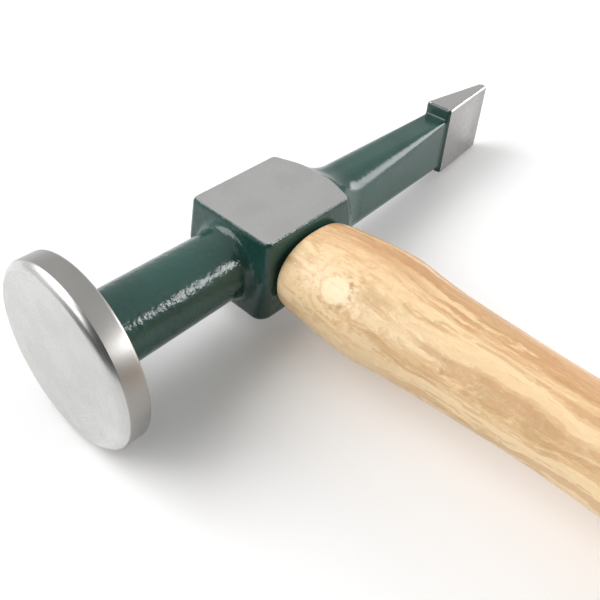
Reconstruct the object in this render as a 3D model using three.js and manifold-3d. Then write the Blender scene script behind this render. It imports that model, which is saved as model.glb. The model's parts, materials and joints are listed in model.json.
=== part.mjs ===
// Body hammer: round flat striking face at one end of the head, cross chisel peen at the other,
// oval eye between them, and a wooden handle wedged into the eye.
//
// The head frame has its origin at the centre of the eye, +X towards the striking face,
// +Y towards the grip and +Z out of the upper ground cheek. The finished assembly is turned
// to lie on a level surface and moved so that the origin is under the middle of its box.
// Units are millimetres.

import * as THREE from "three";
import { mergeVertices } from "three/addons/utils/BufferGeometryUtils.js";
import Module from "manifold-3d";

const wasm = await Module();
wasm.setup();

// ---------------------------------------------------------------- driving dimensions

const FIT_GAP = 0.3; // clearance kept between two pieces that touch

const FACE_X = 55; // eye centre to the flat of the striking face
const DISC_RADIUS = 20;
const DISC_THICKNESS = 6;
const DISC_BEVEL = 1.5; // slightly bulging bevel round the striking face
const DISC_BEVEL_BULGE = 0.35; // 0 is a straight bevel, 1 reaches for the sharp corner
const DISC_BACK_CHAMFER = 0.4;
const DISC_FILLET = 2.2;
const NECK_RADIUS_AT_DISC = 8.25;
const NECK_RADIUS_AT_BLOCK = 7.9;
const NECK_FILLET = 2.2;

const BLOCK_HALF_X = 12.4; // at the ground cheeks
const BLOCK_HALF_Y = 11.9;
const BLOCK_HALF_Z = 10.4;
const BLOCK_DRAFT = 0.7; // how far the walls swell at mid height
const BLOCK_LEAN = 1.4; // extra reach of the foot of the wall under the neck
const BLOCK_EDGE = 1;
const BLOCK_FOOT_EDGE = 3.2; // rounding of the upright edges at the lower cheek

const SHANK_FLARE = 13.2; // radius that blends the shank into the block
const SHANK_START_X = -25.2;
const SHANK_START_HALF_Y = 6.9;
const SHANK_START_TOP = 7.4;
const SHANK_START_BOTTOM = 8.8;
const SHANK_START_EDGE = 5.6; // nearly round beside the block
const COLLAR_X = -64.5; // where the painted shank meets the ground peen
const SHANK_END_HALF_Y = 3.2;
const SHANK_END_TOP = 6.6;
const SHANK_END_BOTTOM = 8.3;
const SHANK_END_EDGE = 0.5;

const PEEN_HALF_Y = 3.95;
const PEEN_HALF_Z = 9.9;
const PEEN_LEAN = 0.2; // how far the peen's middle lies towards the grip at the collar
const PEEN_EDGE = 0.8;
const TIP_X = -86.6;
const TIP_HALF_Y = 1.1;
const TIP_HALF_Z = 9.85;
const TIP_DROP = 0.7; // how far the tip's middle lies below the head's axis
const TIP_LEAN = 0.55; // and towards the grip
const TIP_EDGE = 0.4;

const EYE_HALF_X_GRIP = 8.0; // eye half sizes at the grip side of the block
const EYE_HALF_Z_GRIP = 6.4;
const EYE_HALF_X_TOP = 8.9; // and at the wedged side
const EYE_HALF_Z_TOP = 7.3;
const EYE_SQUARENESS = 2.4;

const BUTT_Y = 305; // eye centre to the end of the handle
const BUTT_ROUND = 4;
const HANDLE_SQUARENESS = 2.25;
// Handle half sizes where its shape changes: along Y, across X, across Z.
const HANDLE_STATIONS = [
  { y: 12.9, halfX: 10.7, halfZ: 8.5 },
  { y: 15.5, halfX: 11.5, halfZ: 9.1 },
  { y: 20, halfX: 12.4, halfZ: 9.7 },
  { y: 27, halfX: 13.2, halfZ: 10.3 },
  { y: 33, halfX: 13.4, halfZ: 10.4 },
  { y: 40, halfX: 12.6, halfZ: 9.8 },
  { y: 50, halfX: 11.8, halfZ: 9.1 },
  { y: 64, halfX: 11.0, halfZ: 8.5 },
  { y: 82, halfX: 10.8, halfZ: 8.4 },
  { y: 120, halfX: 12.0, halfZ: 9.6 },
  { y: 170, halfX: 14.3, halfZ: 11.6 },
  { y: 215, halfX: 15.9, halfZ: 13.0 },
  { y: 250, halfX: 16.2, halfZ: 13.3 },
  { y: 285, halfX: 15.4, halfZ: 12.6 },
  { y: 305, halfX: 14.6, halfZ: 11.9 },
];
const HANDLE_SET = -0.3; // how far the handle's middle lies towards the peen
const GRIP_REST_Y = 250; // thickest point of the grip, which touches the surface

const WEDGE_TOP_Y = -12.2; // driven end of both wedges
const WOOD_WEDGE_DEPTH = 14;
const WOOD_WEDGE_HALF_X_TOP = 8.1;
const WOOD_WEDGE_HALF_X_TIP = 7.4;
const WOOD_WEDGE_HALF_Z_TOP = 1.4;
const WOOD_WEDGE_HALF_Z_TIP = 0.5;
const STEEL_WEDGE_DEPTH = 9;
const STEEL_WEDGE_HALF_X_TOP = 1.0;
const STEEL_WEDGE_HALF_X_TIP = 0.4;
const STEEL_WEDGE_HALF_Z_TOP = 4.2;
const STEEL_WEDGE_HALF_Z_TIP = 3.9;

const LATHE_SEGMENTS = 64;
const BLOCK_SIDES = 24;
const SHANK_SIDES = 32;
const HANDLE_SIDES = 36;
const EYE_SIDES = 36;
const OVERRUN = 6; // how far cutting tools run past the metal
const WELD = 1e-4;

// ---------------------------------------------------------------- solids

// Closed, welded copy of a geometry with its zero-area triangles left out.
function welded(geometry) {
  const bare = geometry.clone();
  bare.deleteAttribute("normal");
  bare.deleteAttribute("uv");
  const merged = mergeVertices(bare, WELD);
  const index = merged.index.array;
  const kept = [];
  for (let i = 0; i < index.length; i += 3) {
    const [a, b, c] = [index[i], index[i + 1], index[i + 2]];
    if (a !== b && b !== c && c !== a) kept.push(a, b, c);
  }
  merged.setIndex(kept);
  return merged;
}

function toSolid(geometry) {
  const closed = welded(geometry);
  return new wasm.Manifold(new wasm.Mesh({
    numProp: 3,
    vertProperties: new Float32Array(closed.attributes.position.array),
    triVerts: new Uint32Array(closed.index.array),
  }));
}

function toGeometry(solid) {
  const mesh = solid.getMesh();
  const geometry = new THREE.BufferGeometry();
  geometry.setAttribute("position", new THREE.BufferAttribute(mesh.vertProperties, 3));
  geometry.setIndex(new THREE.BufferAttribute(mesh.triVerts, 1));
  return geometry;
}

// Round piece turned about X. The profile's x is the radius and its y is the place along X.
function turned(profile, arcSteps) {
  const geometry = new THREE.LatheGeometry(profile.getPoints(arcSteps), LATHE_SEGMENTS);
  return toSolid(geometry.rotateZ(-Math.PI / 2));
}

// Piece swept along Y through its stations, listed from the highest y to the lowest.
// outline(station, step, sides) gives the section's point as [x, z].
function loft(stations, sides, outline) {
  const spans = stations.length - 1;
  const geometry = welded(new THREE.CylinderGeometry(1, 1, 1, sides, spans));
  const position = geometry.attributes.position;
  for (let i = 0; i < position.count; i += 1) {
    const [x, y, z] = [position.getX(i), position.getY(i), position.getZ(i)];
    const station = stations[Math.round((0.5 - y) * spans)];
    const turn = Math.atan2(z, x) / (2 * Math.PI);
    const step = (Math.round(turn * sides) + sides) % sides;
    const onRim = Math.hypot(x, z) > 0.5;
    const [u, v] = onRim ? outline(station, step, sides) : [0, 0];
    position.setXYZ(i, u + (station.midX ?? 0), station.y, v + (station.midZ ?? 0));
  }
  return geometry;
}

// Rectangle with rounded corners: each quarter of the steps runs round one corner.
function roundedRectangle({ halfX, halfZ, edge }, step, sides) {
  const perCorner = sides / 4;
  const corner = Math.floor(step / perCorner);
  const along = (step % perCorner) / (perCorner - 1);
  const angle = (corner + along) * Math.PI / 2;
  const signX = corner === 0 || corner === 3 ? 1 : -1;
  const signZ = corner < 2 ? 1 : -1;
  return [
    signX * (halfX - edge) + edge * Math.cos(angle),
    signZ * (halfZ - edge) + edge * Math.sin(angle),
  ];
}

// Oval between an ellipse (squareness 2) and a rectangle.
function oval({ halfX, halfZ, squareness }, step, sides) {
  const angle = step / sides * 2 * Math.PI;
  const bend = (value) => Math.sign(value) * Math.abs(value) ** (2 / squareness);
  return [halfX * bend(Math.cos(angle)), halfZ * bend(Math.sin(angle))];
}

// ---------------------------------------------------------------- head

// Disc and neck, with the fillet that spreads into the block.
function strikerSolid() {
  const discBack = FACE_X - DISC_THICKNESS;
  const filletRadius = NECK_RADIUS_AT_BLOCK + NECK_FILLET;
  const profile = new THREE.Path();
  profile.moveTo(0, 0);
  profile.lineTo(filletRadius, 0);
  profile.lineTo(filletRadius, BLOCK_HALF_X);
  profile.absarc(filletRadius, BLOCK_HALF_X + NECK_FILLET, NECK_FILLET, -Math.PI / 2, -Math.PI, true);
  profile.lineTo(NECK_RADIUS_AT_DISC, discBack - DISC_FILLET);
  profile.absarc(
    NECK_RADIUS_AT_DISC + DISC_FILLET, discBack - DISC_FILLET, DISC_FILLET, Math.PI, Math.PI / 2, true,
  );
  profile.lineTo(DISC_RADIUS - DISC_BACK_CHAMFER, discBack);
  profile.lineTo(DISC_RADIUS, discBack + DISC_BACK_CHAMFER);
  profile.lineTo(DISC_RADIUS, FACE_X - DISC_BEVEL);
  const bevelPull = DISC_BEVEL * (1 - DISC_BEVEL_BULGE) / 2;
  profile.quadraticCurveTo(
    DISC_RADIUS - bevelPull, FACE_X - bevelPull, DISC_RADIUS - DISC_BEVEL, FACE_X,
  );
  profile.lineTo(0, FACE_X);
  return turned(profile, 3);
}

// Round flare that blends the shank into the block.
function flareSolid() {
  const rimRadius = SHANK_START_HALF_Y + SHANK_FLARE;
  const profile = new THREE.Path();
  profile.moveTo(0, SHANK_START_X);
  profile.lineTo(SHANK_START_HALF_Y, SHANK_START_X);
  profile.absarc(rimRadius, SHANK_START_X, SHANK_FLARE, Math.PI, Math.PI / 2, true);
  profile.lineTo(rimRadius, 0);
  profile.lineTo(0, 0);
  return turned(profile, 6);
}

// Eye block: a rounded rectangle in plan whose walls swell towards mid height. Below the neck
// its wall leans out towards the striking face.
// It is left tall, so that the cheeks are cut by the same grind as the flares.
function blockSolid() {
  const draftRise = BLOCK_DRAFT / BLOCK_HALF_Z;
  const top = BLOCK_HALF_Z + 1;
  const sectionAt = (height) => {
    const swell = BLOCK_DRAFT - draftRise * Math.abs(height);
    const towardsFoot = Math.max(0, -height) / BLOCK_HALF_Z;
    const lean = towardsFoot * BLOCK_LEAN / 2;
    return {
      y: height,
      halfX: BLOCK_HALF_X + swell + lean,
      halfZ: BLOCK_HALF_Y + swell,
      midX: lean,
      edge: THREE.MathUtils.lerp(BLOCK_EDGE, BLOCK_FOOT_EDGE, towardsFoot),
    };
  };
  const upright = loft([top, 0, -top].map(sectionAt), BLOCK_SIDES, roundedRectangle);
  return toSolid(upright.rotateX(Math.PI / 2));
}

// What the grinding and the forging dies leave: flat cheeks and drafted sides, long in X.
function envelopeSolid() {
  const section = new THREE.Shape();
  section.moveTo(BLOCK_HALF_Y, BLOCK_HALF_Z);
  section.lineTo(-BLOCK_HALF_Y, BLOCK_HALF_Z);
  section.lineTo(-BLOCK_HALF_Y - BLOCK_DRAFT, 0);
  section.lineTo(-BLOCK_HALF_Y, -BLOCK_HALF_Z);
  section.lineTo(BLOCK_HALF_Y, -BLOCK_HALF_Z);
  section.lineTo(BLOCK_HALF_Y + BLOCK_DRAFT, 0);
  section.closePath();
  const reach = SHANK_START_X - OVERRUN;
  const length = BLOCK_HALF_X + NECK_FILLET + OVERRUN - reach;
  const bar = new THREE.ExtrudeGeometry(section, { depth: length, bevelEnabled: false });
  bar.rotateX(Math.PI / 2);
  bar.rotateZ(Math.PI / 2);
  bar.translate(reach, 0, 0);
  return toSolid(bar);
}

// Shank: a rounded square at the block that thins to an upright rectangle at the peen.
function shankSolid() {
  const sectionAt = (x, halfY, top, bottom, edge) => ({
    y: x, halfX: halfY, halfZ: (top + bottom) / 2, midZ: (top - bottom) / 2, edge,
  });
  const start = sectionAt(
    SHANK_START_X, SHANK_START_HALF_Y, SHANK_START_TOP, SHANK_START_BOTTOM, SHANK_START_EDGE,
  );
  const end = sectionAt(
    COLLAR_X - FIT_GAP, SHANK_END_HALF_Y, SHANK_END_TOP, SHANK_END_BOTTOM, SHANK_END_EDGE,
  );
  const root = { ...start, y: 0 };
  return toSolid(loft([root, start, end], SHANK_SIDES, roundedRectangle).rotateZ(-Math.PI / 2));
}

// Cross chisel peen, a step wider than the shank all round. A loft's x becomes -Y in the head.
function peenSolid() {
  const base = {
    y: COLLAR_X, halfX: PEEN_HALF_Y, halfZ: PEEN_HALF_Z, midX: -PEEN_LEAN, edge: PEEN_EDGE,
  };
  const tip = {
    y: TIP_X, halfX: TIP_HALF_Y, halfZ: TIP_HALF_Z, midX: -TIP_LEAN, midZ: -TIP_DROP, edge: TIP_EDGE,
  };
  return toSolid(loft([base, tip], BLOCK_SIDES, roundedRectangle).rotateZ(-Math.PI / 2));
}

// Oval bar through the block from low to high along Y, wider on the wedged side.
// grow moves its wall outwards from the eye's own size.
function eyeSolid(grow, low, high) {
  const wall = BLOCK_HALF_Y + BLOCK_DRAFT;
  const sectionAt = (y) => {
    const towardsGrip = (y + wall) / (2 * wall);
    return {
      y,
      halfX: THREE.MathUtils.lerp(EYE_HALF_X_TOP, EYE_HALF_X_GRIP, towardsGrip) + grow,
      halfZ: THREE.MathUtils.lerp(EYE_HALF_Z_TOP, EYE_HALF_Z_GRIP, towardsGrip) + grow,
      squareness: EYE_SQUARENESS,
    };
  };
  return toSolid(loft([high, low].map(sectionAt), EYE_SIDES, oval));
}

// Stock that the grind takes off above and below the cheeks, over the block and its neck fillet.
function grindSolid() {
  const length = 2 * (BLOCK_HALF_X + NECK_FILLET);
  const slab = (side) => {
    const box = new THREE.BoxGeometry(length, 2 * DISC_RADIUS, DISC_RADIUS);
    return toSolid(box.translate(0, 0, side * (BLOCK_HALF_Z + DISC_RADIUS / 2)));
  };
  return slab(1).add(slab(-1));
}

function headSolid() {
  const reach = BLOCK_HALF_Y + BLOCK_DRAFT + OVERRUN;
  const middle = blockSolid().add(flareSolid()).intersect(envelopeSolid());
  return middle
    .add(strikerSolid().subtract(grindSolid()))
    .add(shankSolid())
    .add(peenSolid())
    .subtract(eyeSolid(0, -reach, reach));
}

// ---------------------------------------------------------------- handle and wedges

// Smooth half sizes of the handle at any y, from its stations.
function handleSizeAt(y) {
  const places = HANDLE_STATIONS.map((station) => station.y);
  const sizes = HANDLE_STATIONS.flatMap((station) => [station.halfX, station.halfZ]);
  const curve = new THREE.CubicInterpolant(places, sizes, 2, new Float32Array(2));
  const [halfX, halfZ] = curve.evaluate(y);
  return { halfX, halfZ };
}

function handleBodySolid() {
  const first = HANDLE_STATIONS[0].y;
  const sectionAt = (y, inset = 0) => {
    const { halfX, halfZ } = handleSizeAt(y);
    return {
      y, halfX: halfX - inset, halfZ: halfZ - inset, midX: HANDLE_SET, squareness: HANDLE_SQUARENESS,
    };
  };
  const sections = [];
  const buttStart = BUTT_Y - BUTT_ROUND;
  for (let i = 4; i >= 0; i -= 1) {
    const angle = i / 4 * Math.PI / 2;
    const inset = BUTT_ROUND * (1 - Math.cos(angle));
    sections.push(sectionAt(buttStart + BUTT_ROUND * Math.sin(angle), inset));
  }
  const spans = 26;
  for (let i = spans - 1; i >= 0; i -= 1) {
    const along = (i / spans) ** 1.7; // closer together at the shoulder
    sections.push(sectionAt(THREE.MathUtils.lerp(first, buttStart, along)));
  }
  return toSolid(loft(sections, HANDLE_SIDES, oval));
}

// Wedge that narrows from its driven end into the eye. grow widens it on every side.
function wedgeSolid(depth, top, tip, grow) {
  const sectionAt = (y, half) => ({ y, halfX: half.x + grow, halfZ: half.z + grow, edge: 0.15 });
  const stations = [
    sectionAt(WEDGE_TOP_Y + depth + grow, tip),
    sectionAt(WEDGE_TOP_Y, top),
  ];
  if (grow > 0) stations.push(sectionAt(WEDGE_TOP_Y - OVERRUN, top));
  return toSolid(loft(stations, 8, roundedRectangle));
}

function woodWedgeBlank(grow) {
  const top = { x: WOOD_WEDGE_HALF_X_TOP, z: WOOD_WEDGE_HALF_Z_TOP };
  const tip = { x: WOOD_WEDGE_HALF_X_TIP, z: WOOD_WEDGE_HALF_Z_TIP };
  return wedgeSolid(WOOD_WEDGE_DEPTH, top, tip, grow);
}

function steelWedgeBlank(grow) {
  const top = { x: STEEL_WEDGE_HALF_X_TOP, z: STEEL_WEDGE_HALF_Z_TOP };
  const tip = { x: STEEL_WEDGE_HALF_X_TIP, z: STEEL_WEDGE_HALF_Z_TIP };
  return wedgeSolid(STEEL_WEDGE_DEPTH, top, tip, grow);
}

// Handle with its tenon, sawn for the wood wedge and split by the steel one.
function handleSolid() {
  const shoulder = HANDLE_STATIONS[0].y;
  const tenonEnd = -BLOCK_HALF_Y - BLOCK_DRAFT;
  return handleBodySolid()
    .add(eyeSolid(-FIT_GAP, tenonEnd, shoulder + 1))
    .subtract(woodWedgeBlank(FIT_GAP))
    .subtract(steelWedgeBlank(FIT_GAP));
}

function woodWedgeSolid() {
  return woodWedgeBlank(0).subtract(steelWedgeBlank(FIT_GAP));
}

// ---------------------------------------------------------------- assembly

// Direction, in the head frame, that points up when the hammer lies on a level surface:
// it rests on the disc's back rim, the peen's lower tip corner and the belly of the grip.
function restingUp() {
  const rimX = FACE_X - DISC_THICKNESS + DISC_BACK_CHAMFER;
  const rim = new THREE.Vector3(rimX, 0, -DISC_RADIUS);
  const tip = new THREE.Vector3(TIP_X, 0, -TIP_HALF_Z - TIP_DROP);
  const grip = new THREE.Vector3(0, GRIP_REST_Y, -handleSizeAt(GRIP_REST_Y).halfZ);
  return new THREE.Plane().setFromCoplanarPoints(rim, grip, tip).normal;
}

function piece(name, solid, look) {
  const mesh = new THREE.Mesh(toGeometry(solid), new THREE.MeshStandardMaterial(look));
  mesh.name = name;
  return mesh;
}

const GREEN_PAINT = { color: 0x2f5a50, roughness: 0.3, metalness: 0.1 };
const PALE_WOOD = { color: 0xdcb684, roughness: 0.45, metalness: 0 };
const WEDGE_WOOD = { color: 0xc79a63, roughness: 0.6, metalness: 0 };
const WEDGE_STEEL = { color: 0x8d8f90, roughness: 0.4, metalness: 0.9 };

const hammer = new THREE.Group();
hammer.add(piece("head", headSolid(), GREEN_PAINT));
hammer.add(piece("handle", handleSolid(), PALE_WOOD));
hammer.add(piece("wood_wedge", woodWedgeSolid(), WEDGE_WOOD));
hammer.add(piece("steel_wedge", steelWedgeBlank(0), WEDGE_STEEL));

hammer.quaternion.setFromUnitVectors(restingUp(), new THREE.Vector3(0, 0, 1));
hammer.updateMatrixWorld(true);
const box = new THREE.Box3().setFromObject(hammer, true);
hammer.position.set(
  -(box.min.x + box.max.x) / 2,
  -(box.min.y + box.max.y) / 2,
  -box.min.z,
);

const group = new THREE.Group();
group.add(hammer);

export default group;
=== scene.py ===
"""Looks of a body hammer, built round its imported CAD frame.

Meshes are made in the head's own axes, in millimetres: origin at the centre of the eye, +X
towards the striking face, +Y towards the grip, +Z out of the upper cheek. The frame's mounts
say where those axes lie, and each finished piece is placed there in metres.
"""

import json
import math

import bmesh
import bpy
import numpy as np
from mathutils import Matrix, Vector


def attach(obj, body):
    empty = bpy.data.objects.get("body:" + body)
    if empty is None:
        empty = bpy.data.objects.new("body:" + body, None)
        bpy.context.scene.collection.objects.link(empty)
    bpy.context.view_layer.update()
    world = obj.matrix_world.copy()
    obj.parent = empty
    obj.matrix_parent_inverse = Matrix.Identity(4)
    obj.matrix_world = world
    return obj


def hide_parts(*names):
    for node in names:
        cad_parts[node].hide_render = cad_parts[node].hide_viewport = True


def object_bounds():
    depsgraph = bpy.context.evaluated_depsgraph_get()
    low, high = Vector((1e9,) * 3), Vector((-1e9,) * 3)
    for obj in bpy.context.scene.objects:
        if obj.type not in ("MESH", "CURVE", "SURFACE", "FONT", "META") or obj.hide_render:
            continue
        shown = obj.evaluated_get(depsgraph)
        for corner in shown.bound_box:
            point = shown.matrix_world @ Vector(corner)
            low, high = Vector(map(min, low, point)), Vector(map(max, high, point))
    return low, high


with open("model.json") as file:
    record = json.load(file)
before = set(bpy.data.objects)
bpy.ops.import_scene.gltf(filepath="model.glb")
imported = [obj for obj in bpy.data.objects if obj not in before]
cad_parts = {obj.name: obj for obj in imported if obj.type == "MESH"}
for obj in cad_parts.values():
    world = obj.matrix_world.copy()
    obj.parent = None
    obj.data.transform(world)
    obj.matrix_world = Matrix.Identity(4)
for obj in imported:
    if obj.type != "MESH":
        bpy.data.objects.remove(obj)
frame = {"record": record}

MM = 0.001
cad_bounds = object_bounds()

# ------------------------------------------------------------------ driving sizes (mm)

FACE_X = 55.0
DISC_BACK_X = 49.0
DISC_RADIUS = 20.0
DISC_BEVEL = 1.5
DISC_BEVEL_BULGE = 0.35
DISC_BACK_ROUND = 0.9
DISC_SIDES = 360
DISC_CREASE = 15  # degrees between faces that show as an edge beside bare steel
HEAD_CREASE = 28
DISC_FILLET = 2.2  # between the neck and the disc
NECK_RADIUS_AT_DISC = 8.25
NECK_RADIUS_AT_BLOCK = 7.9
NECK_FILLET = 2.2  # between the neck and the block

BLOCK_HALF = np.array([12.4, 11.9, 10.4])
BLOCK_DRAFT = 0.7  # swell of the walls at mid height
BLOCK_EDGE = 1.4
BLOCK_FOOT_EDGE = 3.2  # rounding of the upright edges at the lower cheek
CHEEK_EDGE = 1.5
BLOCK_LEAN = 1.4  # extra reach of the foot of the wall under the neck
GRIND_ALLOWANCE = 0.45  # what the grinder takes off the rough forging
ROUGH_RIM_EDGE = 0.8

SHANK_START_X = -25.2
SHANK_END_X = -64.8
SHANK_START = {"half_y": 6.9, "top": 7.4, "bottom": 8.8, "edge": 5.8}
SHANK_END = {"half_y": 3.4, "top": 6.6, "bottom": 8.3, "edge": 0.8}
SHANK_FLARE = 13.2  # radius on which the shank grows into the block
SHANK_FILLET = 0.6
FLARE_HEIGHT = 0.68  # growth in height against the growth in width
FLARE_ROUNDING = 0.55  # growth of the rounded corners against the growth in width
FLARE_EDGE = 2.4  # rounding into the block's sides at mid height
FLARE_CHEEK_EDGE = 0.6

COLLAR_X = -64.5
COLLAR_FILLET = 0.7
COLLAR_EDGE = 1.2
COLLAR_PAINT = 0.3  # painted strip left beside the step
PEEN_ALLOWANCE = 0.2
PEEN_EDGE = (0.45, 0.35)  # at the collar and at the tip
PEEN_BASE = {"half_y": 3.95, "half_z": 9.9, "mid_y": 0.2, "mid_z": 0.0}
TIP_X = -86.6
PEEN_TIP = {"half_y": 1.1, "half_z": 9.85, "mid_y": 0.55, "mid_z": -0.7}
# Outline (x, z) of what is ground off the lower corner of the tip, measured from that corner.
CORNER_GRIND = ((1.5, -0.1), (-0.1, 1.1), (-5.0, 1.0), (-5.0, -5.0), (1.5, -5.0))
CORNER_GRIND_HALF_Y = 6.0

WALL_Y = BLOCK_HALF[1] + BLOCK_DRAFT
EYE_GRIP = (8.0, 6.4)  # half sizes of the eye at the grip side
EYE_TOP = (8.9, 7.3)  # and at the wedged side
EYE_SQUARENESS = 2.4
EYE_CHAMFER = 0.7
TENON_GAP = 0.06
TENON_CHAMFER = 0.25
TENON_MIDDLE_Y = 6.0
TENON_ROOT_Y = 12.8

BUTT_Y = 305.0
BUTT_ROUND = 4.0
HANDLE_MID_X = -0.3
HANDLE_SQUARENESS = 2.25
HANDLE_SIDES = 192
HANDLE_RINGS = 260
SHOULDER_EDGE = 0.8
UNEVENNESS = 0.35  # depth of the spokeshave's marks
UNEVENNESS_FADE = 6.0  # length over which they fade out at the shoulder and the butt
# Handle half sizes where its shape changes: along Y, across X, across Z.
HANDLE_STATIONS = (
    (12.9, 11.1, 8.7),
    (15.5, 11.9, 9.3),
    (20.0, 12.7, 9.8),
    (27.0, 13.2, 10.3),
    (33.0, 13.4, 10.4),
    (40.0, 12.6, 9.8),
    (50.0, 11.8, 9.1),
    (64.0, 11.0, 8.5),
    (82.0, 10.8, 8.4),
    (120.0, 12.0, 9.6),
    (170.0, 14.3, 11.6),
    (215.0, 15.9, 13.0),
    (250.0, 16.2, 13.3),
    (285.0, 15.4, 12.6),
    (305.0, 14.6, 11.9),
)

WEDGE_TOP_Y = -12.2
WOOD_WEDGE = {"depth": 14.0, "top": (8.1, 1.4), "tip": (7.4, 0.5)}
STEEL_WEDGE = {"depth": 9.0, "top": (1.0, 4.2), "tip": (0.4, 3.9)}
WEDGE_EDGE = 0.15
WEDGE_CLEARANCE = 0.04
SLOT_OVERRUN = 4.0  # how far a slot's cutter stands out of the tenon
WOOD_CREASE = 35  # degrees

FORGING_STEP = 0.4  # grid on which the forging's skin is found
FORGING_MARGIN = 2.0  # room that the grid leaves round the forging
DISC_CUT_RADIUS = 45.0
CHEEK_CUT = {"back": -26.0, "half_y": 25.0, "top": 30.0}
PEEN_CUT_REACH = 50.0

# ------------------------------------------------------------------ the head's axes

mounts = {mount["name"]: mount for mount in frame["record"]["mounts"]}
axis_x = Vector(mounts["striking_face"]["axis"]).normalized()
axis_z = Vector(mounts["upper_cheek"]["axis"]).normalized()
axis_y = axis_z.cross(axis_x)
eye_centre = Vector(mounts["striking_face"]["pos_m"]) - axis_x * FACE_X * MM
head_axes = Matrix((axis_x, axis_y, axis_z)).transposed()
HEAD_PLACE = Matrix.Translation(eye_centre) @ head_axes.to_4x4()


# ------------------------------------------------------------------ mesh helpers


def mesh_object(name, points, faces):
    """An object placed in the head's axes, from points in millimetres."""
    mesh = bpy.data.meshes.new(name)
    mesh.from_pydata((np.asarray(points) * MM).tolist(), [], [list(face) for face in faces])
    mesh.update()
    thing = bpy.data.objects.new(name, mesh)
    bpy.context.scene.collection.objects.link(thing)
    thing.matrix_world = HEAD_PLACE
    return thing


def outward(thing):
    """Turns every face outwards."""
    work = bmesh.new()
    work.from_mesh(thing.data)
    bmesh.ops.recalc_face_normals(work, faces=work.faces)
    work.to_mesh(thing.data)
    work.free()
    return thing


def ring_loft(name, rings):
    """Closed body through rings of equal length, with flat ends."""
    count = len(rings[0])
    points = np.concatenate(rings)
    faces = []
    for ring in range(len(rings) - 1):
        low = ring * count
        for side in range(count):
            after = (side + 1) % count
            faces.append((low + side, low + after, low + count + after, low + count + side))
    faces.append(tuple(range(count))[::-1])
    last = (len(rings) - 1) * count
    faces.append(tuple(range(last, last + count)))
    return outward(mesh_object(name, points, faces))


def lathe_x(name, profile, sides):
    """Body turned about X from (x, radius) points, ending in flat faces."""
    turn = np.linspace(0, 2 * math.pi, sides, endpoint=False)
    rings = [
        np.column_stack([np.full(sides, x), radius * np.cos(turn), radius * np.sin(turn)])
        for x, radius in profile
    ]
    return ring_loft(name, rings)


def arc(centre_x, centre_r, radius, start, stop, steps):
    """Points (x, radius) on a circular arc, angles in degrees from +X towards the outside."""
    angles = np.radians(np.linspace(start, stop, steps))
    return [(centre_x + radius * math.cos(a), centre_r + radius * math.sin(a)) for a in angles]


def rounded_ring(half_a, half_b, edge, steps=6):
    """Rounded rectangle as rows of two coordinates."""
    rows = []
    for quarter, (sign_a, sign_b) in enumerate(((1, 1), (-1, 1), (-1, -1), (1, -1))):
        for angle in np.radians(np.linspace(0, 90, steps) + 90 * quarter):
            rows.append((
                sign_a * (half_a - edge) + edge * math.cos(angle),
                sign_b * (half_b - edge) + edge * math.sin(angle),
            ))
    return np.array(rows)


def box_object(name, low, high):
    """Plain block, used only as a cutting tool."""
    corners = [
        (x, y, z) for x in (low[0], high[0]) for y in (low[1], high[1]) for z in (low[2], high[2])
    ]
    faces = [(0, 1, 3, 2), (4, 6, 7, 5), (0, 4, 5, 1), (2, 3, 7, 6), (0, 2, 6, 4), (1, 5, 7, 3)]
    return outward(mesh_object(name, corners, faces))


def combine(thing, tool, operation):
    """Applies a boolean to thing and discards the tool."""
    step = thing.modifiers.new(operation, "BOOLEAN")
    step.operation = operation
    step.solver = "MANIFOLD"
    step.object = tool
    depsgraph = bpy.context.evaluated_depsgraph_get()
    result = bpy.data.meshes.new_from_object(thing.evaluated_get(depsgraph))
    thing.modifiers.clear()
    old = thing.data
    thing.data = result
    bpy.data.meshes.remove(old)
    bpy.data.objects.remove(tool)


def dress(thing, *materials):
    """Replaces whatever material slots the booleans left."""
    thing.data.materials.clear()
    for material in materials:
        thing.data.materials.append(material)


def smooth_with_creases(thing, degrees):
    """Smooth shading that keeps edges sharper than that many degrees."""
    mesh = thing.data
    mesh.shade_smooth()
    mesh.set_sharp_from_angle(angle=math.radians(degrees))


# ------------------------------------------------------------------ distance fields (mm)


def lerp(start, stop, share):
    """Value that share of the way from start to stop."""
    return start + (stop - start) * share


def join_round(a, b, radius):
    """Union of two fields with a fillet of that radius where they meet."""
    u = np.maximum(radius - a, 0)
    v = np.maximum(radius - b, 0)
    return np.maximum(radius, np.minimum(a, b)) - np.hypot(u, v)


def cut_round(a, b, radius):
    """Intersection of two fields with its edge rounded to that radius."""
    u = np.maximum(radius + a, 0)
    v = np.maximum(radius + b, 0)
    return np.minimum(-radius, np.maximum(a, b)) + np.hypot(u, v)


def box_field(offsets, edge):
    """Rounded box from |distance from middle| - half size along each axis."""
    inner = [offset + edge for offset in offsets]
    outside = np.sqrt(sum(np.maximum(value, 0) ** 2 for value in inner))
    inside = np.minimum(np.maximum.reduce(inner), 0)
    return outside + inside - edge


def neck_field(x, y, z):
    """Round neck, slightly thicker towards the disc."""
    share = np.clip((x - BLOCK_HALF[0]) / (DISC_BACK_X - BLOCK_HALF[0]), 0, 1)
    side = np.hypot(y, z) - lerp(NECK_RADIUS_AT_BLOCK, NECK_RADIUS_AT_DISC, share)
    return np.maximum(side, np.maximum(-x, x - DISC_BACK_X - 1))


def disc_field(x, y, z):
    """Rough disc before it is turned."""
    high = FACE_X + GRIND_ALLOWANCE
    middle = (DISC_BACK_X + high) / 2
    rim = np.hypot(y, z) - DISC_RADIUS - GRIND_ALLOWANCE
    return box_field([np.abs(x - middle) - (high - DISC_BACK_X) / 2, rim], ROUGH_RIM_EDGE)


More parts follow.
